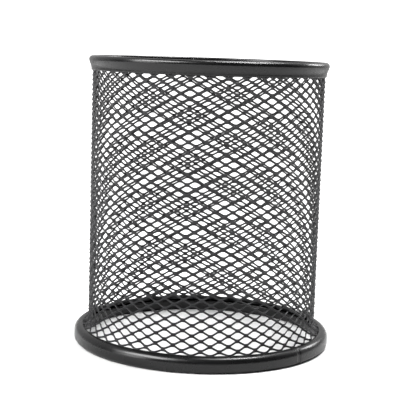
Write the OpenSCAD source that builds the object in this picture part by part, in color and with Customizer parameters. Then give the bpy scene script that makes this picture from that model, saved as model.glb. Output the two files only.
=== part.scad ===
// Mesh pen cup, standing on its mouth, with its floor at the top.
// A tube of expanded steel mesh flares at the mouth into a hollow rolled ring.
// At the other end a folded rim grips the tube and a countersunk mesh floor.
// Units are millimetres, +Z is up, and the origin is the centre of the mouth ring's base.

/* [Cup] */
// Overall height, from the mouth ring's base to the top of the floor rim
cup_h = 100; // [80:1:140]
// Radius of the middle of the mesh wall
wall_r = 40.1; // [34:0.1:50]
// Depth of the mesh sheet, across its raised strands
mesh_t = 0.8; // [0.5:0.1:1]

/* [Mouth ring] */
// Outer diameter of the mouth ring
ring_od = 90.8; // [90.4:0.1:91.2]
// Height of the mouth ring
ring_h = 5.5; // [5:0.1:6]
// Radial width of the mouth ring
ring_w = 3.6; // [3.5:0.1:3.8]
// Radius of the mouth ring's round outer shoulder
ring_shoulder_r = 2.4; // [2:0.05:2.4]
// Radius of the mouth ring's outer corner at the base
ring_base_r = 1.4; // [1:0.05:1.6]
// Radius of the mouth ring's inner corners
ring_inner_r = 1; // [0.8:0.05:1]
// Thickness of the steel strip that the ring is rolled from
strip_t = 0.5; // [0.4:0.1:0.6]
// Bend radius of the mesh flare that runs into the ring
flare_r = 6; // [5.8:0.1:6.2]
// Height at which the mesh wall starts to flare
flare_z = 9.6; // [9.4:0.1:9.8]

/* [Floor end] */
// Outer diameter of the floor rim
rim_od = 83.5; // [83.2:0.1:84]
// Height of the floor rim's outer leg
rim_h = 4.9; // [4:0.1:6]
// Height of the floor rim's inner leg
rim_inner_h = 2.9; // [2.4:0.1:3]
// Depth of the mesh floor's outer face below the top of the rim
floor_recess = 3.2; // [3.1:0.1:3.4]

/* [Seam] */
// Number of spot welds along the wall's seam
weld_count = 9; // [5:1:15]
// Diameter of one spot weld
weld_d = 1.6; // [1:0.1:2]
// Direction of the seam round the cup, in degrees from +X
seam_angle = 172; // [0:1:359]
// Direction of the mouth ring's butt joint, in degrees from +X
ring_joint_angle = 317; // [0:1:359]
// Direction of the floor rim's butt joint, in degrees from +X
rim_joint_angle = 100; // [0:1:359]

/* [Hidden] */
$fn = 96;

black = [0.07, 0.07, 0.075];
weld_black = [0.11, 0.11, 0.115];

// Clearance between pieces that grip each other
fit_gap = 0.06;

wall_in = wall_r - mesh_t / 2;
wall_out = wall_r + mesh_t / 2;

ring_out = ring_od / 2;
ring_in = ring_out - ring_w;
// The flared mesh ends inside the ring's hollow, this far short of its outer wall
flare_end_gap = 0.9;
flare_end_r = ring_out - strip_t - flare_end_gap;

// The floor rim's bead, the corner of its inner leg, and the inner leg's thickness
rim_out = rim_od / 2;
rim_corner_r = 1.3;
rim_inner_corner_r = 0.5;
rim_inner_t = 0.45;
// The outer leg at its lower edge, the height it stays close to the wall for,
// and how far it spreads over that height
rim_lip_t = 0.2;
rim_lip_h = 1.2;
rim_lip_spread = 0.1;
// The bead is full this far below the centre of its curve, and this much narrower there
rim_bead_drop = 0.5;
rim_bead_ease = 0.1;
// The rim's top plate is the strip and the filler that the two sheets butt against
rim_filler_t = 0.5;
rim_roof_t = strip_t + rim_filler_t;
// The floor's flange stands between the wall and the rim's inner leg
flange_t = 0.5;
flange_out = wall_in - fit_gap;
flange_in = flange_out - flange_t;
rim_in = flange_in - fit_gap - rim_inner_t;
// Underside of the rim's top plate, which both sheets stop short of
rim_roof_z = cup_h - rim_roof_t;
sheet_top_z = rim_roof_z - fit_gap;

floor_top_z = cup_h - floor_recess;
floor_bend_r = 1.4;

// Angle round the cup that the weld in each rolled strip's butt joint fills
weld_angle = 1.1;

// Depth of a spot weld's button, and where the row of them starts and ends
spot_depth = 0.25;
spot_first_z = 14;
spot_rim_gap = 6;
spot_last_z = cup_h - rim_h - spot_rim_gap;

// A section that stands on the origin's level, with inner corners of radius in_r,
// a shoulder of radius top_r and an outer base corner of radius base_r
module rounded_section(w, h, in_r, top_r, base_r) {
    translate([in_r, 0]) square([w - in_r - top_r, h]);
    translate([in_r, 0]) square([w - in_r - base_r, h - top_r]);
    translate([0, in_r]) square([w - top_r, h - 2 * in_r]);
    translate([in_r, base_r]) square([w - in_r, h - top_r - base_r]);
    for (z = [in_r, h - in_r]) translate([in_r, z]) circle(in_r);
    translate([w - top_r, h - top_r]) circle(top_r);
    translate([w - base_r, base_r]) circle(base_r);
}

// Section of the flared mesh as an arc of the given thickness, ending at the radius end_r
module flare_section(thickness, end_r) {
    centre_r = wall_r + flare_r;
    intersection() {
        translate([centre_r, flare_z])
            difference() {
                circle(flare_r + thickness / 2);
                circle(flare_r - thickness / 2);
            }
        translate([wall_r - thickness, flare_z - flare_r - thickness])
            square([end_r - wall_r + thickness, flare_r + thickness]);
    }
}

// Section of the mouth ring's rolled strip, before the slot for the mesh is cut
module ring_section() {
    translate([ring_in, 0])
        difference() {
            rounded_section(ring_w, ring_h, ring_inner_r, ring_shoulder_r, ring_base_r);
            translate([strip_t, strip_t])
                rounded_section(ring_w - 2 * strip_t, ring_h - 2 * strip_t,
                                ring_inner_r - strip_t, ring_shoulder_r - strip_t,
                                ring_base_r - strip_t);
        }
}

// Solid section of the floor rim: a round bead on top, tapering down to the wall
module rim_blank() {
    bead_z = cup_h - rim_corner_r;
    lip_r = wall_out + fit_gap + rim_lip_t;
    lip_z = cup_h - rim_h;
    inner_corner_x = rim_in + rim_inner_corner_r;
    translate([rim_out - rim_corner_r, bead_z]) circle(rim_corner_r);
    translate([inner_corner_x, cup_h - rim_inner_corner_r]) circle(rim_inner_corner_r);
    translate([inner_corner_x, bead_z])
        square([rim_out - rim_corner_r - inner_corner_x, rim_corner_r]);
    translate([rim_in, cup_h - rim_inner_h])
        square([wall_r - rim_in, rim_inner_h - rim_inner_corner_r]);
    // The outer leg leaves the wall gently and spreads to the bead
    polygon([
        [wall_r, lip_z],
        [lip_r, lip_z],
        [lip_r + rim_lip_spread, lip_z + rim_lip_h],
        [rim_out - rim_bead_ease, bead_z - rim_bead_drop],
        [rim_out, bead_z],
        [wall_r, bead_z]
    ]);
}

// Hollow that holds the floor's flange and the end of the wall
module rim_channel() {
    channel_in = rim_in + rim_inner_t;
    translate([channel_in, 0]) square([wall_out + fit_gap - channel_in, rim_roof_z]);
}

module wall_mesh() {
    color(black)
        rotate_extrude() {
            translate([wall_in, flare_z]) square([mesh_t, sheet_top_z - flare_z]);
            flare_section(mesh_t, flare_end_r);
        }
}

// Section of the ring's strip with the slot that grips the mesh
module slotted_ring_section() {
    difference() {
        ring_section();
        flare_section(mesh_t + 2 * fit_gap, flare_end_r);
    }
}

// The strip is one turn, less the width of the weld that closes it
module mouth_ring() {
    color(black)
        rotate([0, 0, ring_joint_angle + weld_angle / 2])
            rotate_extrude(angle = 360 - weld_angle) slotted_ring_section();
}

module mouth_ring_weld() {
    color(weld_black)
        rotate([0, 0, ring_joint_angle - weld_angle / 2])
            rotate_extrude(angle = weld_angle) slotted_ring_section();
}

module floor_mesh() {
    bend_centre_r = flange_out - floor_bend_r;
    floor_low_z = floor_top_z - mesh_t;
    color(black)
        rotate_extrude() {
            translate([0, floor_low_z]) square([bend_centre_r, mesh_t]);
            intersection() {
                translate([bend_centre_r, floor_low_z + floor_bend_r])
                    difference() {
                        circle(floor_bend_r);
                        circle(floor_bend_r - flange_t);
                    }
                translate([bend_centre_r, floor_low_z])
                    square([floor_bend_r, floor_bend_r]);
            }
            translate([flange_in, floor_low_z + floor_bend_r])
                square([flange_t, sheet_top_z - floor_low_z - floor_bend_r]);
        }
}

// Section of the floor rim's folded strip
module rim_section() {
    difference() {
        rim_blank();
        rim_channel();
    }
}

module floor_rim() {
    color(black)
        rotate([0, 0, rim_joint_angle + weld_angle / 2])
            rotate_extrude(angle = 360 - weld_angle) rim_section();
}

module floor_rim_weld() {
    color(weld_black)
        rotate([0, 0, rim_joint_angle - weld_angle / 2])
            rotate_extrude(angle = weld_angle) rim_section();
}

// Spot welds pressed against the inside of the wall, evenly spaced up the seam
module seam_welds() {
    weld_x = sqrt(pow(wall_in, 2) - pow(weld_d / 2, 2)) - spot_depth;
    weld_step = (spot_last_z - spot_first_z) / (weld_count - 1);
    color(weld_black)
        rotate([0, 0, seam_angle])
            for (i = [0 : weld_count - 1])
                translate([weld_x, 0, spot_first_z + i * weld_step])
                    rotate([0, 90, 0])
                        cylinder(d = weld_d, h = spot_depth);
}

wall_mesh();
mouth_ring();
mouth_ring_weld();
floor_mesh();
floor_rim();
floor_rim_weld();
seam_welds();
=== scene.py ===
"""A black mesh pen cup, standing on its mouth. The frame's parts are given their looks here."""
import math

import bpy
from mathutils import Matrix, Vector


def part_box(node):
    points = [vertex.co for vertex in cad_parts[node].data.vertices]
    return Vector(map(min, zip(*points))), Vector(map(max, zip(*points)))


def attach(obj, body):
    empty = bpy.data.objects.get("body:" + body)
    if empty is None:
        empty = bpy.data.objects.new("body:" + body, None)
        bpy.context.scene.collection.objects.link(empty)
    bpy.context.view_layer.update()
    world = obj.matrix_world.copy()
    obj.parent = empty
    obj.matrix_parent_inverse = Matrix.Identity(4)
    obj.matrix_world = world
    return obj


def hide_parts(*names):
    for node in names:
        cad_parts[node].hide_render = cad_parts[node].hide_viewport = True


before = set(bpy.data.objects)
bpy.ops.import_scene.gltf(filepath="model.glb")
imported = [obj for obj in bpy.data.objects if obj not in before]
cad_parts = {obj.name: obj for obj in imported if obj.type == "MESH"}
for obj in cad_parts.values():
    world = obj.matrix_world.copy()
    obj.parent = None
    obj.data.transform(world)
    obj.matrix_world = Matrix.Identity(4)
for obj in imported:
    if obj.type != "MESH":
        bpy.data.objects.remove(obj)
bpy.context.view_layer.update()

MM = 0.001
TAU = 2 * math.pi

# Boxes of the frame's parts, which give the places of the visual pieces
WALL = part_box("wall_mesh")
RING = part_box("mouth_ring")
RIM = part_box("floor_rim")
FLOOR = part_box("floor_mesh")
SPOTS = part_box("seam_welds")

# Expanded mesh
CELLS_ROUND = 41.68           # mesh cells round the wall; the seam takes up the rest of one
SHEET_CELLS = 43              # cells along the rolled sheet, which overlaps itself at the seam
SHORT_WAY = 3.396 * MM        # height of one mesh cell
STRAND_W = 0.62 * MM          # width of a strand's face
STRAND_T = 0.40 * MM          # thickness of a strand
STRAND_TILT = math.radians(33)
KNUCKLE_SWELL = 0.12          # how much wider, as a fraction, a strand is where two are joined
BOND_H = 0.50 * MM            # spacing of two strands where they stay joined
CELL_PHASE = 0.0037           # angle of one column of cells from -Y, in radians
CELL_Z = 14.64 * MM           # height of one row of cells
WAVINESS = 0.02 * MM          # how far the rows wander up and down

# Wall, and the flare at its lower end
WALL_R = 40.1 * MM            # radius of the middle of the wall above its flare
SHEET_TOP = WALL[1][2]
FLARE_R = 6.0 * MM
FLARE_Z = 9.6 * MM            # height at which the flare starts
FLARE_GAP = 0.9 * MM          # the flare stops this far short of the ring's outer strip
SEAM_ANGLE = math.radians(172)
LAP_CELLS = 3                 # cells over which the sheet's inner end dips inside its outer end
LAP_DIP = 0.3 * MM

# Spot welds along the seam
SPOT_COUNT = 9
SPOT_R = 0.75 * MM
SPOT_END_GAP = 0.8 * MM       # the first and last spots' centres are this far inside the box
SPOT_OUTSET = 0.4 * MM        # a spot's base is this far inside the middle of the wall
SPOT_DEPTH = 0.4 * MM
SPOT_TAPER = 0.85

# Dished floor
FLOOR_BEND_R = 1.1 * MM
FLANGE_R = FLOOR[1][0] - 0.3 * MM
FLAT_R = FLANGE_R - FLOOR_BEND_R
FLAT_Z = FLOOR[0][2] + 0.4 * MM
FLOOR_BEND = FLOOR_BEND_R * TAU / 4
FLOOR_REACH = FLAT_R + FLOOR_BEND + (FLOOR[1][2] - FLAT_Z - FLOOR_BEND_R)
FLOOR_TURN = math.radians(24)
FLANGE_SQUASH = 0.5           # how far the flange is pressed flat

# Mouth ring
STRIP_T = 0.5 * MM
RING_OUT = RING[1][0]
RING_W = 3.6 * MM
RING_SHOULDER_R = 2.4 * MM
RING_BASE_R = 1.4 * MM
RING_INNER_R = 1.0 * MM
RING_SLOT_DROP = 1.3 * MM     # the ring's inner lip is this much lower than its outer lip
FLARE_END = RING_OUT - STRIP_T - FLARE_GAP
RING_MID = (RING_OUT - RING_W / 2, (RING[0][2] + RING[1][2]) / 2)
RING_JOINT = math.radians(317)

# Floor rim
RIM_STRIP_HALF = 0.2 * MM     # half the thickness of the rim's strip
RIM_BEAD_R = 1.1 * MM
RIM_INNER_R = 0.4 * MM
RIM_MID = (RIM[1][0] - 1.3 * MM, RIM[1][2] - 1.3 * MM)
RIM_JOINT = math.radians(100)

# Butt welds of the ring and the rim
WELD_HALF = math.radians(0.55)
GROOVE_W = 0.35 * MM


# ---------------------------------------------------------------- mesh helpers

def make_piece(name, points, faces, material, smooth=True):
    """A mesh object from points and faces, with its material and shading set."""
    mesh = bpy.data.meshes.new(name)
    mesh.from_pydata([tuple(p) for p in points], [], faces)
    mesh.validate()
    mesh.update()
    mesh.polygons.foreach_set("use_smooth", [smooth] * len(mesh.polygons))
    piece = bpy.data.objects.new(name, mesh)
    bpy.context.scene.collection.objects.link(piece)
    piece.data.materials.append(material)
    return piece


def arc(centre, radius, start, end, steps):
    """Points (r, z) on an arc, angles in degrees."""
    points = []
    for i in range(steps + 1):
        a = math.radians(start + (end - start) * i / steps)
        points.append((centre[0] + radius * math.cos(a), centre[1] + radius * math.sin(a)))
    return points


def path_normals(path):
    """Unit normals on the left of an open path, one for each point."""
    normals = []
    for i in range(len(path)):
        a = path[max(i - 1, 0)]
        b = path[min(i + 1, len(path) - 1)]
        dx, dy = b[0] - a[0], b[1] - a[1]
        size = math.hypot(dx, dy)
        normals.append((-dy / size, dx / size))
    return normals


def round_lip(end, normal, half):
    """The round end of a strip, from the side that the normal points to over to the other."""
    turn = math.atan2(normal[1], normal[0])
    return [(end[0] + half * math.cos(turn - a), end[1] + half * math.sin(turn - a))
            for a in (math.pi * k / 5 for k in range(1, 5))]


def thicken(path, thickness):
    """The closed outline of a strip that follows an open path, with round lips."""
    normals = path_normals(path)
    half = thickness / 2
    left = [(p[0] + n[0] * half, p[1] + n[1] * half) for p, n in zip(path, normals)]
    right = [(p[0] - n[0] * half, p[1] - n[1] * half) for p, n in zip(path, normals)]
    first = (-normals[0][0], -normals[0][1])
    return left + round_lip(path[-1], normals[-1], half) + right[::-1] + round_lip(path[0], first, half)


def lathe(name, outline, segments, material, warp, start, turn):
    """Revolves a closed (r, z) outline part of the way round the cup's axis, with flat ends."""
    count = len(outline)
    points = []
    for i in range(segments + 1):
        a = start + turn * i / segments
        for r, z in outline:
            r, z = warp(r, z, a)
            points.append((r * math.cos(a), r * math.sin(a), z))
    faces = []
    for i in range(segments):
        here, there = i * count, (i + 1) * count
        for k in range(count):
            n = (k + 1) % count
            faces.append((here + k, there + k, there + n, here + n))
    faces.append(tuple(range(count)))
    faces.append(tuple(range(segments * count, (segments + 1) * count))[::-1])
    return make_piece(name, points, faces, material)


# ------------------------------------------------------------------- materials

CLOUD_SCALE = 90              # size of the gloss's soft patches
WORN_TONE = (0.11, 0.11, 0.115, 1)
PEEL_DEPTH = 0.04 * MM


def add_noise(tree, coords, scale, detail):
    """A noise texture fixed to the object."""
    noise = tree.nodes.new("ShaderNodeTexNoise")
    noise.inputs["Scale"].default_value = scale
    noise.inputs["Detail"].default_value = detail
    tree.links.new(coords.outputs["Object"], noise.inputs["Vector"])
    return noise


def add_range(tree, source, from_low, from_high, to_low, to_high):
    """Maps a socket's value from one range to another, and returns the result's socket."""
    mapped = tree.nodes.new("ShaderNodeMapRange")
    mapped.inputs["From Min"].default_value = from_low
    mapped.inputs["From Max"].default_value = from_high
    mapped.inputs["To Min"].default_value = to_low
    mapped.inputs["To Max"].default_value = to_high
    tree.links.new(source, mapped.inputs["Value"])
    return mapped.outputs["Result"]


def add_coat_colour(tree, colour, cloud, wear):
    """The coat's colour, paler on worn edges and faintly mottled. Returns the result's socket."""
    edges = tree.nodes.new("ShaderNodeNewGeometry")
    tint = tree.nodes.new("ShaderNodeMix")
    tint.data_type = "RGBA"
    tint.inputs["A"].default_value = (*colour, 1)
    tint.inputs["B"].default_value = WORN_TONE
    worn = add_range(tree, edges.outputs["Pointiness"], 0.52, 0.62, 0, wear)
    tree.links.new(worn, tint.inputs["Factor"])
    mottle = tree.nodes.new("ShaderNodeMix")
    mottle.data_type = "RGBA"
    mottle.blend_type = "MULTIPLY"
    mottle.inputs["Factor"].default_value = 0.35
    tree.links.new(tint.outputs["Result"], mottle.inputs["A"])
    tree.links.new(cloud.outputs["Fac"], mottle.inputs["B"])
    return mottle.outputs["Result"]


def powder_coat(name, colour, roughness, grain, bump, wear, gleam=0.5):
    """Satin black powder coat: a fine orange peel, cloudy gloss and paler worn edges."""
    material = bpy.data.materials.new(name)
    material.use_nodes = True
    tree = material.node_tree
    shader = tree.nodes["Principled BSDF"]
    shader.inputs["Specular IOR Level"].default_value = gleam
    coords = tree.nodes.new("ShaderNodeTexCoord")
    peel = add_noise(tree, coords, grain, 3)
    cloud = add_noise(tree, coords, CLOUD_SCALE, 5)

    gloss = add_range(tree, cloud.outputs["Fac"], 0.3, 0.7, roughness - 0.05, roughness + 0.07)
    tree.links.new(gloss, shader.inputs["Roughness"])
    tree.links.new(add_coat_colour(tree, colour, cloud, wear), shader.inputs["Base Color"])

    relief = tree.nodes.new("ShaderNodeBump")
    relief.inputs["Strength"].default_value = bump
    relief.inputs["Distance"].default_value = PEEL_DEPTH
    tree.links.new(peel.outputs["Fac"], relief.inputs["Height"])
    tree.links.new(relief.outputs["Normal"], shader.inputs["Normal"])
    return material


def plain_white(name, value):
    """Matt white of the table."""
    material = bpy.data.materials.new(name)
    material.use_nodes = True
    shader = material.node_tree.nodes["Principled BSDF"]
    shader.inputs["Base Color"].default_value = (value, value, value, 1)
    shader.inputs["Roughness"].default_value = 0.9
    shader.inputs["Specular IOR Level"].default_value = 0.1
    return material


# ------------------------------------------------------------- expanded sheet

# Stations along one half period of a strand, from an upper bond to the next lower bond:
# the fraction of the half period, and how far the strand's centre line is between bonds.
STATIONS = [(0.0, 1.0), (0.18, 0.92), (0.5, 0.0), (0.82, -0.92)]


def strand_stations(periods):
    """Yields (distance in periods, wave) along a strand that starts on an upper bond."""
    for half in range(2 * periods):
        sign = 1 if half % 2 == 0 else -1
        for fraction, wave in STATIONS:
            yield (half + fraction) / 2, sign * wave
    yield periods, 1.0


def strand_section(wave):
    """Four corners of a strand's section as (up the sheet, out of the sheet)."""
    half_w = STRAND_W / 2 * (1 + KNUCKLE_SWELL * abs(wave) ** 3)
    half_t = STRAND_T / 2
    up_w, out_w = math.cos(STRAND_TILT), math.sin(STRAND_TILT)
    lean = -0.5 * BOND_H * math.tan(STRAND_TILT) * wave
    corners = []
    for across, through in ((1, 1), (-1, 1), (-1, -1), (1, -1)):
        up = across * half_w * up_w - through * half_t * out_w
        out = across * half_w * out_w + through * half_t * up_w
        corners.append((up, lean + out))
    return corners


def strand_height(wave):
    """Offset of a strand's centre line from midway between two rows of bonds."""
    return (SHORT_WAY / 4 - BOND_H / 2) * wave


def skin_strand(rows, points, faces):
    """Adds the closed tube through rows of four points."""
    base = len(points)
    for row in rows:
        points.extend(row)
    for i in range(len(rows) - 1):
        here, there = base + 4 * i, base + 4 * (i + 1)
        for k in range(4):
            n = (k + 1) % 4
            faces.append((here + k, here + n, there + n, there + k))
    faces.append((base + 3, base + 2, base + 1, base))
    end = base + 4 * (len(rows) - 1)
    faces.append((end, end + 1, end + 2, end + 3))


# ------------------------------------------------------------------------ wall

def wall_point(angle, height, out, lap):
    """A point on the wall: straight above FLARE_Z, and on the flare's arc below it."""
    if height >= FLARE_Z:
        r, z = WALL_R + out + lap, height
    else:
        bend = (FLARE_Z - height) / FLARE_R
        reach = FLARE_R - out - lap
        r = WALL_R + FLARE_R - reach * math.cos(bend)
        z = FLARE_Z - reach * math.sin(bend)
    return (r * math.cos(angle), r * math.sin(angle), z)


def flare_floor():
    """Sheet height, measured along the flare, at which the mesh ends in the ring."""
    bend = math.acos((WALL_R + FLARE_R - FLARE_END) / FLARE_R)
    return FLARE_Z - FLARE_R * bend


def lap_offset(period):
    """How far the rolled sheet's inner end dips inside its outer end."""
    ramp = min(max((period - (CELLS_ROUND - LAP_CELLS)) / LAP_CELLS, 0), 1)
    return -LAP_DIP * ramp * ramp * (3 - 2 * ramp)


def wall_strand(row, seam_column):
    """Rows of corners along the wall's strand above one row of bonds."""
    step = TAU / CELLS_ROUND
    middle = CELL_Z + (row + 0.5) * SHORT_WAY / 2
    # Bonds of the row above sit half a cell from its cell centres
    start = seam_column - 0.5 + 0.5 * ((row + 1) % 2)
    corners = []
    for period, wave in strand_stations(SHEET_CELLS - row % 2):
        angle = CELL_PHASE - TAU / 4 + (start + period) * step
        height = middle + strand_height(wave)
        wander = WAVINESS * math.sin(7 * angle + row)
        lap = lap_offset(period)
        corners.append([wall_point(angle, height + up + wander, out, lap)
                        for up, out in strand_section(wave)])
    return corners


def build_wall(material):
    """The rolled expanded sheet: one zigzag strand between each two rows of bonds."""
    points, faces = [], []
    first_row = math.ceil((flare_floor() - CELL_Z) / (SHORT_WAY / 2))
    last_row = math.floor((SHEET_TOP - CELL_Z) / (SHORT_WAY / 2))
    seam_column = round((SEAM_ANGLE - TAU + TAU / 4 - CELL_PHASE) / (TAU / CELLS_ROUND))
    for row in range(first_row, last_row):
        skin_strand(wall_strand(row, seam_column), points, faces)
    return make_piece("wall_lattice", points, faces, material, smooth=False)


def spot_points(z):
    """Rings of points of one flattened spot weld, from its base to its face."""
    sides, rings = 14, 4
    points = []
    for k in range(rings):
        t = k / (rings - 1)
        size = SPOT_R * (1 - SPOT_TAPER * t * t)
        depth = WALL_R - SPOT_OUTSET - SPOT_DEPTH * math.sin(t * TAU / 4)
        for s in range(sides):
            a = TAU * s / sides
            turn = SEAM_ANGLE + size * math.cos(a) / WALL_R
            points.append((depth * math.cos(turn), depth * math.sin(turn), z + size * math.sin(a)))
    return points, sides, rings


def build_seam_welds(material):
    """Flattened spot welds where the sheet's two ends overlap."""
    points, faces = [], []
    low, high = SPOTS[0][2], SPOTS[1][2]
    for n in range(SPOT_COUNT):
        z = low + SPOT_END_GAP + n * (high - low - 2 * SPOT_END_GAP) / (SPOT_COUNT - 1)
        base = len(points)
        spot, sides, rings = spot_points(z)
        points.extend(spot)
        for k in range(rings - 1):
            for s in range(sides):
                m = (s + 1) % sides
                a, b = base + k * sides, base + (k + 1) * sides
                faces.append((a + s, b + s, b + m, a + m))
        faces.append(tuple(base + s for s in range(sides))[::-1])
        faces.append(tuple(base + (rings - 1) * sides + s for s in range(sides)))
    return make_piece("seam_weld_spots", points, faces, material)


# ----------------------------------------------------------------------- floor

def floor_point(x, y, out):
    """A point of the flat sheet, pressed into the floor's dish: flat, then bend, then flange."""
    distance = math.hypot(x, y)
    if distance <= FLAT_R:
        r, z = distance, FLAT_Z + out
    elif distance <= FLAT_R + FLOOR_BEND:
        bend = (distance - FLAT_R) / FLOOR_BEND_R
        r = FLAT_R + (FLOOR_BEND_R - out) * math.sin(bend)
        z = FLAT_Z + FLOOR_BEND_R - (FLOOR_BEND_R - out) * math.cos(bend)
    else:
        r = FLANGE_R - out * FLANGE_SQUASH
        z = FLAT_Z + FLOOR_BEND_R + distance - FLAT_R - FLOOR_BEND
    angle = math.atan2(y, x) + FLOOR_TURN
    return (r * math.cos(angle), r * math.sin(angle), z)


def floor_strand(row, periods, long_way):
    """Rows of corners along one strand of the floor, cut off at the disc's edge."""
    middle = (row + 0.5) * SHORT_WAY / 2
    shift = 0.5 * ((row + 1) % 2) - periods
    corners = []
    for period, wave in strand_stations(2 * periods):
        x = (shift + period) * long_way
        y = middle + strand_height(wave)
        if math.hypot(x, y) < FLOOR_REACH:
            corners.append([floor_point(x, y + up, out) for up, out in strand_section(wave)])
    return corners


def build_floor(material):
    """The dished floor: a flat expanded sheet whose edge is pressed into a flange."""
    points, faces = [], []
    long_way = TAU * WALL_R / CELLS_ROUND
    half_rows = int(FLOOR_REACH / (SHORT_WAY / 2))
    periods = int(FLOOR_REACH / long_way) + 1
    for row in range(-half_rows - 1, half_rows + 1):
        corners = floor_strand(row, periods, long_way)
        if len(corners) > 2:
            skin_strand(corners, points, faces)
    return make_piece("floor_lattice", points, faces, material, smooth=False)


# --------------------------------------------------------------- ring and rim

def ring_outline():
    """The mouth ring's rolled strip, from the lip outside the mesh slot round to the inner lip."""
    half = STRIP_T / 2
    inn = RING_OUT - RING_W + RING_INNER_R
    top, low = RING[1][2], RING[0][2]
    small = RING_INNER_R - half
    path = arc((inn, top - RING_INNER_R), small, 118, 90, 3)
    path += arc((RING_OUT - RING_SHOULDER_R, top - RING_SHOULDER_R), RING_SHOULDER_R - half, 90, 0, 16)
    path += arc((RING_OUT - RING_BASE_R, low + RING_BASE_R), RING_BASE_R - half, 0, -90, 10)
    path += arc((inn, low + RING_INNER_R), small, -90, -180, 7)
    path += arc((inn, top - RING_SLOT_DROP - RING_INNER_R), small, 180, 160, 3)
    return thicken(path, STRIP_T)


def rim_outline():
    """The floor rim's folded strip: outer leg, round bead, top, and inner leg."""
    half = RIM_STRIP_HALF
    out, top, low = RIM[1][0] - half, RIM[1][2] - half, RIM[0][2]
    skirt = WALL_R + 0.4 * MM + half
    inner = FLOOR[1][0] - 0.5 * MM - 0.06 * MM - half
    path = [
        (skirt, low + half),
        (skirt + 0.02 * MM, low + 0.7 * MM),
        (skirt + 0.12 * MM, low + 1.3 * MM),
        (skirt + 0.34 * MM, low + 2.0 * MM),
        (skirt + 0.62 * MM, low + 2.6 * MM),
    ]
    path += arc((out - RIM_BEAD_R, top - RIM_BEAD_R), RIM_BEAD_R, -22, 90, 14)
    path += arc((inner + RIM_INNER_R, top - RIM_INNER_R), RIM_INNER_R, 90, 180, 5)
    path += [(inner, top - 1.4 * MM), (inner, top - 2.4 * MM)]
    return thicken(path, 2 * half)


def joint_groove(r, z, angle, joint, centre, depth):
    """Pulls the surface in a little where a rolled strip's two ends meet."""
    off = (angle - joint + math.pi) % TAU - math.pi
    dip = math.exp(-(off * centre[0] / GROOVE_W) ** 2)
    return r + (centre[0] - r) * depth * dip, z + (centre[1] - z) * depth * dip


def build_ring(material):
    """The hollow mouth ring, open at its butt joint, with a faint unevenness from rolling."""
    def warp(r, z, angle):
        r, z = joint_groove(r, z, angle, RING_JOINT, RING_MID, 0.018)
        ease = max(z - 1.5 * MM, 0) / (4 * MM)
        sag = ease * 0.02 * MM * (math.sin(9 * angle) - 1)
        return r + 0.015 * MM * math.sin(5 * angle + 1), z + sag

    return lathe("mouth_ring_strip", ring_outline(), 360, material, warp,
                 RING_JOINT + WELD_HALF, TAU - 2 * WELD_HALF)


def build_rim(material):
    """The folded rim that grips the wall and the floor's flange, open at its butt joint."""
    def warp(r, z, angle):
        r, z = joint_groove(r, z, angle, RIM_JOINT, RIM_MID, 0.03)
        return r + 0.012 * MM * math.sin(4 * angle), z

    return lathe("floor_rim_strip", rim_outline(), 360, material, warp,
                 RIM_JOINT + WELD_HALF, TAU - 2 * WELD_HALF)


def build_weld(name, outline, joint, centre, box, material):
    """The weld that fills a strip's joint: a slice of its section, a hair inside it at the ends."""
    def warp(r, z, angle):
        off = (angle - joint) / WELD_HALF
        swell = 0.012 * (1 - off * off) - 0.014
        r, z = r + (r - centre[0]) * swell, z + (z - centre[1]) * swell
        return r, min(max(z, box[0][2]), box[1][2])

    return lathe(name, outline, 8, material, warp, joint - WELD_HALF, 2 * WELD_HALF)


# ----------------------------------------------------------------------- stage

def build_stage():
    """A round white table top that ends where it is as white as the room."""
    radius, sides = 0.5, 96
    rim = [(radius * math.cos(TAU * i / sides), radius * math.sin(TAU * i / sides), 0)
           for i in range(sides)]
    mesh = bpy.data.meshes.new("table")
    mesh.from_pydata(rim, [], [tuple(range(sides))])
    table = bpy.data.objects.new("table", mesh)
    table.data.materials.append(plain_white("table_white", 0.74))
    bpy.context.scene.collection.objects.link(table)


# How bright the room is from its front wall (-Y) to its back wall (+Y), and as the camera sees it
ROOM_TONES = [(0.0, 0.05), (0.42, 0.08), (0.55, 0.3), (0.66, 0.75), (1.0, 0.75)]
BACKDROP = (1.5, 1.5, 1.5, 1)


def add_room_tone(tree):
    """The room's own brightness, by direction. Returns its socket."""
    coords = tree.nodes.new("ShaderNodeTexCoord")
    split = tree.nodes.new("ShaderNodeSeparateXYZ")
    tree.links.new(coords.outputs["Generated"], split.inputs["Vector"])
    ramp = tree.nodes.new("ShaderNodeValToRGB")
    tones = ramp.color_ramp.elements
    while len(tones) < len(ROOM_TONES):
        tones.new(0.5)
    for element, (place, tone) in zip(tones, ROOM_TONES):
        element.position = place
        element.color = (tone, tone, tone, 1)
    tree.links.new(add_range(tree, split.outputs["Y"], -1, 1, 0, 1), ramp.inputs["Fac"])
    return ramp.outputs["Color"]


def build_world():
    """A room that is dark in front and white behind; the camera sees it as plain white."""
    world = bpy.data.worlds.new("studio")
    bpy.context.scene.world = world
    world.use_nodes = True
    tree = world.node_tree
    path = tree.nodes.new("ShaderNodeLightPath")
    seen = tree.nodes.new("ShaderNodeMix")
    seen.data_type = "RGBA"
    seen.inputs["B"].default_value = BACKDROP
    tree.links.new(path.outputs["Is Camera Ray"], seen.inputs["Factor"])
    tree.links.new(add_room_tone(tree), seen.inputs["A"])
    tree.links.new(seen.outputs["Result"], tree.nodes["Background"].inputs["Color"])


def add_light(name, place, target, width, height, power):
    """A rectangular soft box."""
    light = bpy.data.lights.new(name, "AREA")
    light.shape = "RECTANGLE"
    light.size = width
    light.size_y = height
    light.energy = power
    lamp = bpy.data.objects.new(name, light)
    lamp.location = place
    lamp.rotation_euler = (Vector(target) - Vector(place)).to_track_quat("-Z", "Y").to_euler()
    bpy.context.scene.collection.objects.link(lamp)


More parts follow.
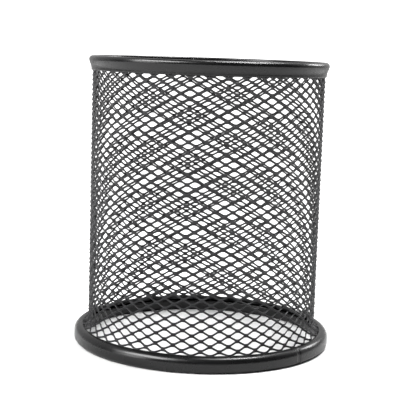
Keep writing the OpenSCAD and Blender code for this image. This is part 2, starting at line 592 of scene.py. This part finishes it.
def build_lights():
    """Two boxes above the cup, two to its left and a small one behind it on the right."""
    add_light("key_box", (0.24, 0.40, 0.86), (0, 0, 0.05), 0.35, 0.25, 3.5)
    add_light("top_box", (0.25, 0.02, 0.93), (0, 0, 0.03), 0.12, 0.45, 8)
    add_light("left_box", (-0.52, -0.34, 0.64), (0, 0, 0.03), 0.66, 0.42, 12)
    add_light("low_left_box", (-0.74, -0.42, 0.24), (0, 0, 0.03), 0.4, 0.4, 3)
    add_light("right_box", (0.68, 0.58, 0.50), (0, 0, 0.03), 0.25, 0.25, 2.6)


def build_camera():
    """The photograph's view: a long lens a little above the cup's top, rolled slightly."""
    distance, height, aim = 0.3832, 0.1045, 0.0474
    roll = math.radians(1.89)
    camera = bpy.data.cameras.new("camera")
    camera.sensor_width = 36
    camera.lens = 94.28
    camera.shift_x = 0.0079
    camera.clip_start = 0.01
    holder = bpy.data.objects.new("camera", camera)
    holder.location = (0, -distance, height)
    look = Vector((0, 0, aim)) - holder.location
    turn = look.to_track_quat("-Z", "Y").to_matrix().to_4x4()
    holder.rotation_euler = (turn @ Matrix.Rotation(roll, 4, "Z")).to_euler()
    bpy.context.scene.collection.objects.link(holder)
    bpy.context.scene.camera = holder


# ------------------------------------------------------------------------ main

def dress():
    """Builds every piece, hides the frame's part that it replaces, and lets it ride on the one body."""
    black, mesh_black, weld_black = (0.009, 0.009, 0.0095), (0.008, 0.008, 0.0084), (0.011, 0.011, 0.0115)
    mesh_coat = powder_coat("mesh_powder_coat", mesh_black, 0.42, 2600, 0.25, 0.4, gleam=0.34)
    ring_coat = powder_coat("ring_powder_coat", black, 0.26, 1500, 0.25, 0.3)
    rim_coat = powder_coat("rim_powder_coat", black, 0.25, 1500, 0.20, 0.3)
    weld_coat = powder_coat("weld_powder_coat", weld_black, 0.33, 1800, 0.35, 0.3)
    pieces = [
        (build_wall(mesh_coat), "wall_mesh", "powder_coated_mesh"),
        (build_floor(mesh_coat), "floor_mesh", "powder_coated_mesh"),
        (build_ring(ring_coat), "mouth_ring", "powder_coated_ring"),
        (build_rim(rim_coat), "floor_rim", "powder_coated_rim"),
        (build_weld("mouth_ring_weld_bead", ring_outline(), RING_JOINT, RING_MID, RING, weld_coat),
         "mouth_ring_weld", "powder_coated_weld"),
        (build_weld("floor_rim_weld_bead", rim_outline(), RIM_JOINT, RIM_MID, RIM, weld_coat),
         "floor_rim_weld", "powder_coated_weld"),
        (build_seam_welds(weld_coat), "seam_welds", "powder_coated_weld"),
    ]
    for piece, node, slot in pieces:
        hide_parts(node)
        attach(piece, "root")


build_camera()
build_stage()
build_world()
build_lights()
dress()

view = bpy.context.scene.view_settings
view.view_transform = "Standard"
view.look = "None"
view.exposure = 0.0
view.gamma = 0.85
